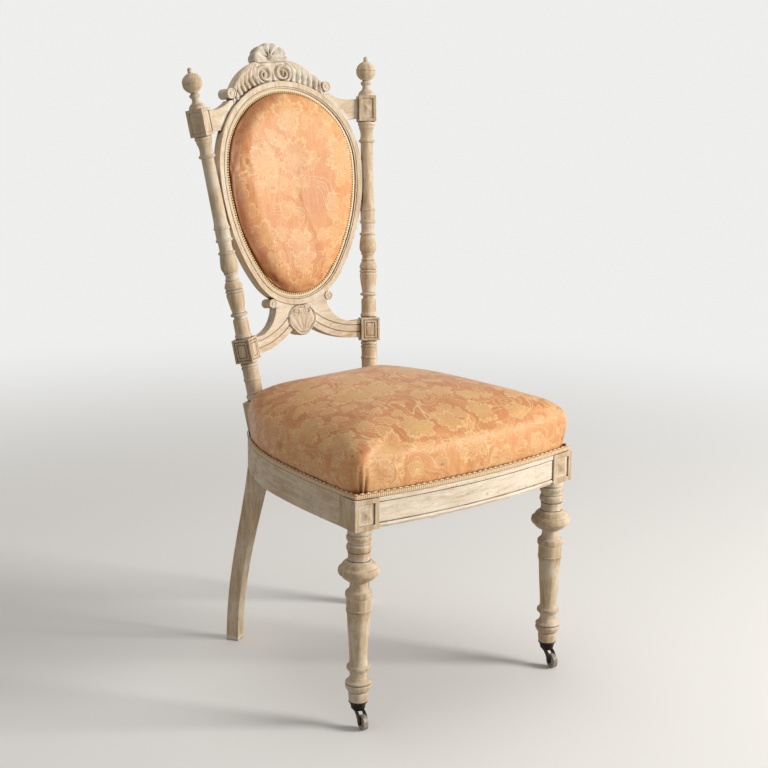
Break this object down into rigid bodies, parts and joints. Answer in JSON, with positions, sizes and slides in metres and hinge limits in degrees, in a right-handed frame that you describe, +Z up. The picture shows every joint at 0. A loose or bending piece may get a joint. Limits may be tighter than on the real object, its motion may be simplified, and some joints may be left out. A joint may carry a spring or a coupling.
{
  "type": "balloon back chair",
  "caption": "Turned and carved side chair with an oval stuffed back, a sprung bow-fronted seat, swept rear legs and small casters on the front legs.",
  "frame": {"origin": "on the floor under the middle of the chair's outer box, halfway between the front of the seat cushion and the back of the crest shell", "axes": "+Z up, +Y towards the back of the chair, +X towards the right-hand leg as seen from in front"},
  "size_m": [0.4884, 0.5878, 1.0443],
  "materials": {
    "show_wood": "limed and worn, with pale wax in the grooves",
    "carved_wood": "limed carving, darker in the hollows",
    "inner_wood": "raw, unpolished",
    "damask": "apricot satin damask with a golden leaf figure",
    "outside_cloth": "plain apricot satin",
    "gimp": "pale gold braid",
    "hessian": "open jute weave",
    "webbing": "tight jute weave",
    "spring_steel": "dull drawn wire",
    "screw_steel": "plain steel",
    "caster_iron": "darkened iron, rubbed at the edges",
    "caster_wheel": "worn pale metal"
  },
  "bodies": {
    "frame": {"left_rear_post": "show_wood", "right_rear_post": "show_wood", "left_finial": "show_wood", "right_finial": "show_wood", "crest_rail": "show_wood", "crest_carving": "carved_wood", "crest_shell": "carved_wood", "left_oval_hoop": "show_wood", "right_oval_hoop": "show_wood", "lower_rail": "show_wood", "lower_cartouche": "carved_wood", "back_webbing": "hessian", "back_pad": "damask", "back_gimp": "gimp", "back_outside_cover": "outside_cloth", "back_rear_gimp": "gimp", "front_rail": "show_wood", "left_side_rail": "show_wood", "right_side_rail": "show_wood", "rear_rail": "show_wood", "corner_blocks": "inner_wood", "corner_block_screws": "screw_steel", "rail_dowels": "inner_wood", "back_dowels": "inner_wood", "seat_webbing": "webbing", "seat_springs": "spring_steel", "seat_hessian": "hessian", "seat_cushion": "damask", "seat_gimp": "gimp", "left_front_leg": "show_wood", "right_front_leg": "show_wood", "left_caster_socket": "caster_iron", "right_caster_socket": "caster_iron"},
    "left_caster": {"left_caster_horn": "caster_iron", "left_caster_pin": "caster_iron"},
    "left_wheel": {"left_caster_wheel": "caster_wheel"},
    "right_caster": {"right_caster_horn": "caster_iron", "right_caster_pin": "caster_iron"},
    "right_wheel": {"right_caster_wheel": "caster_wheel"}
  },
  "joints": [
    {"name": "left_caster_swivel", "type": "hinge", "parent": "frame", "child": "left_caster", "pos_m": [-0.2105, -0.25036, 0.0437], "axis": [0, 0, 1], "continuous": true},
    {"name": "left_wheel_roll", "type": "hinge", "parent": "left_caster", "child": "left_wheel", "pos_m": [-0.21424, -0.26797, 0.0125], "axis": [0.9781, -0.2079, 0], "continuous": true},
    {"name": "right_caster_swivel", "type": "hinge", "parent": "frame", "child": "right_caster", "pos_m": [0.2105, -0.25036, 0.0437], "axis": [0, 0, 1], "continuous": true},
    {"name": "right_wheel_roll", "type": "hinge", "parent": "right_caster", "child": "right_wheel", "pos_m": [0.20676, -0.26797, 0.0125], "axis": [0.9781, -0.2079, 0], "continuous": true}
  ]
}
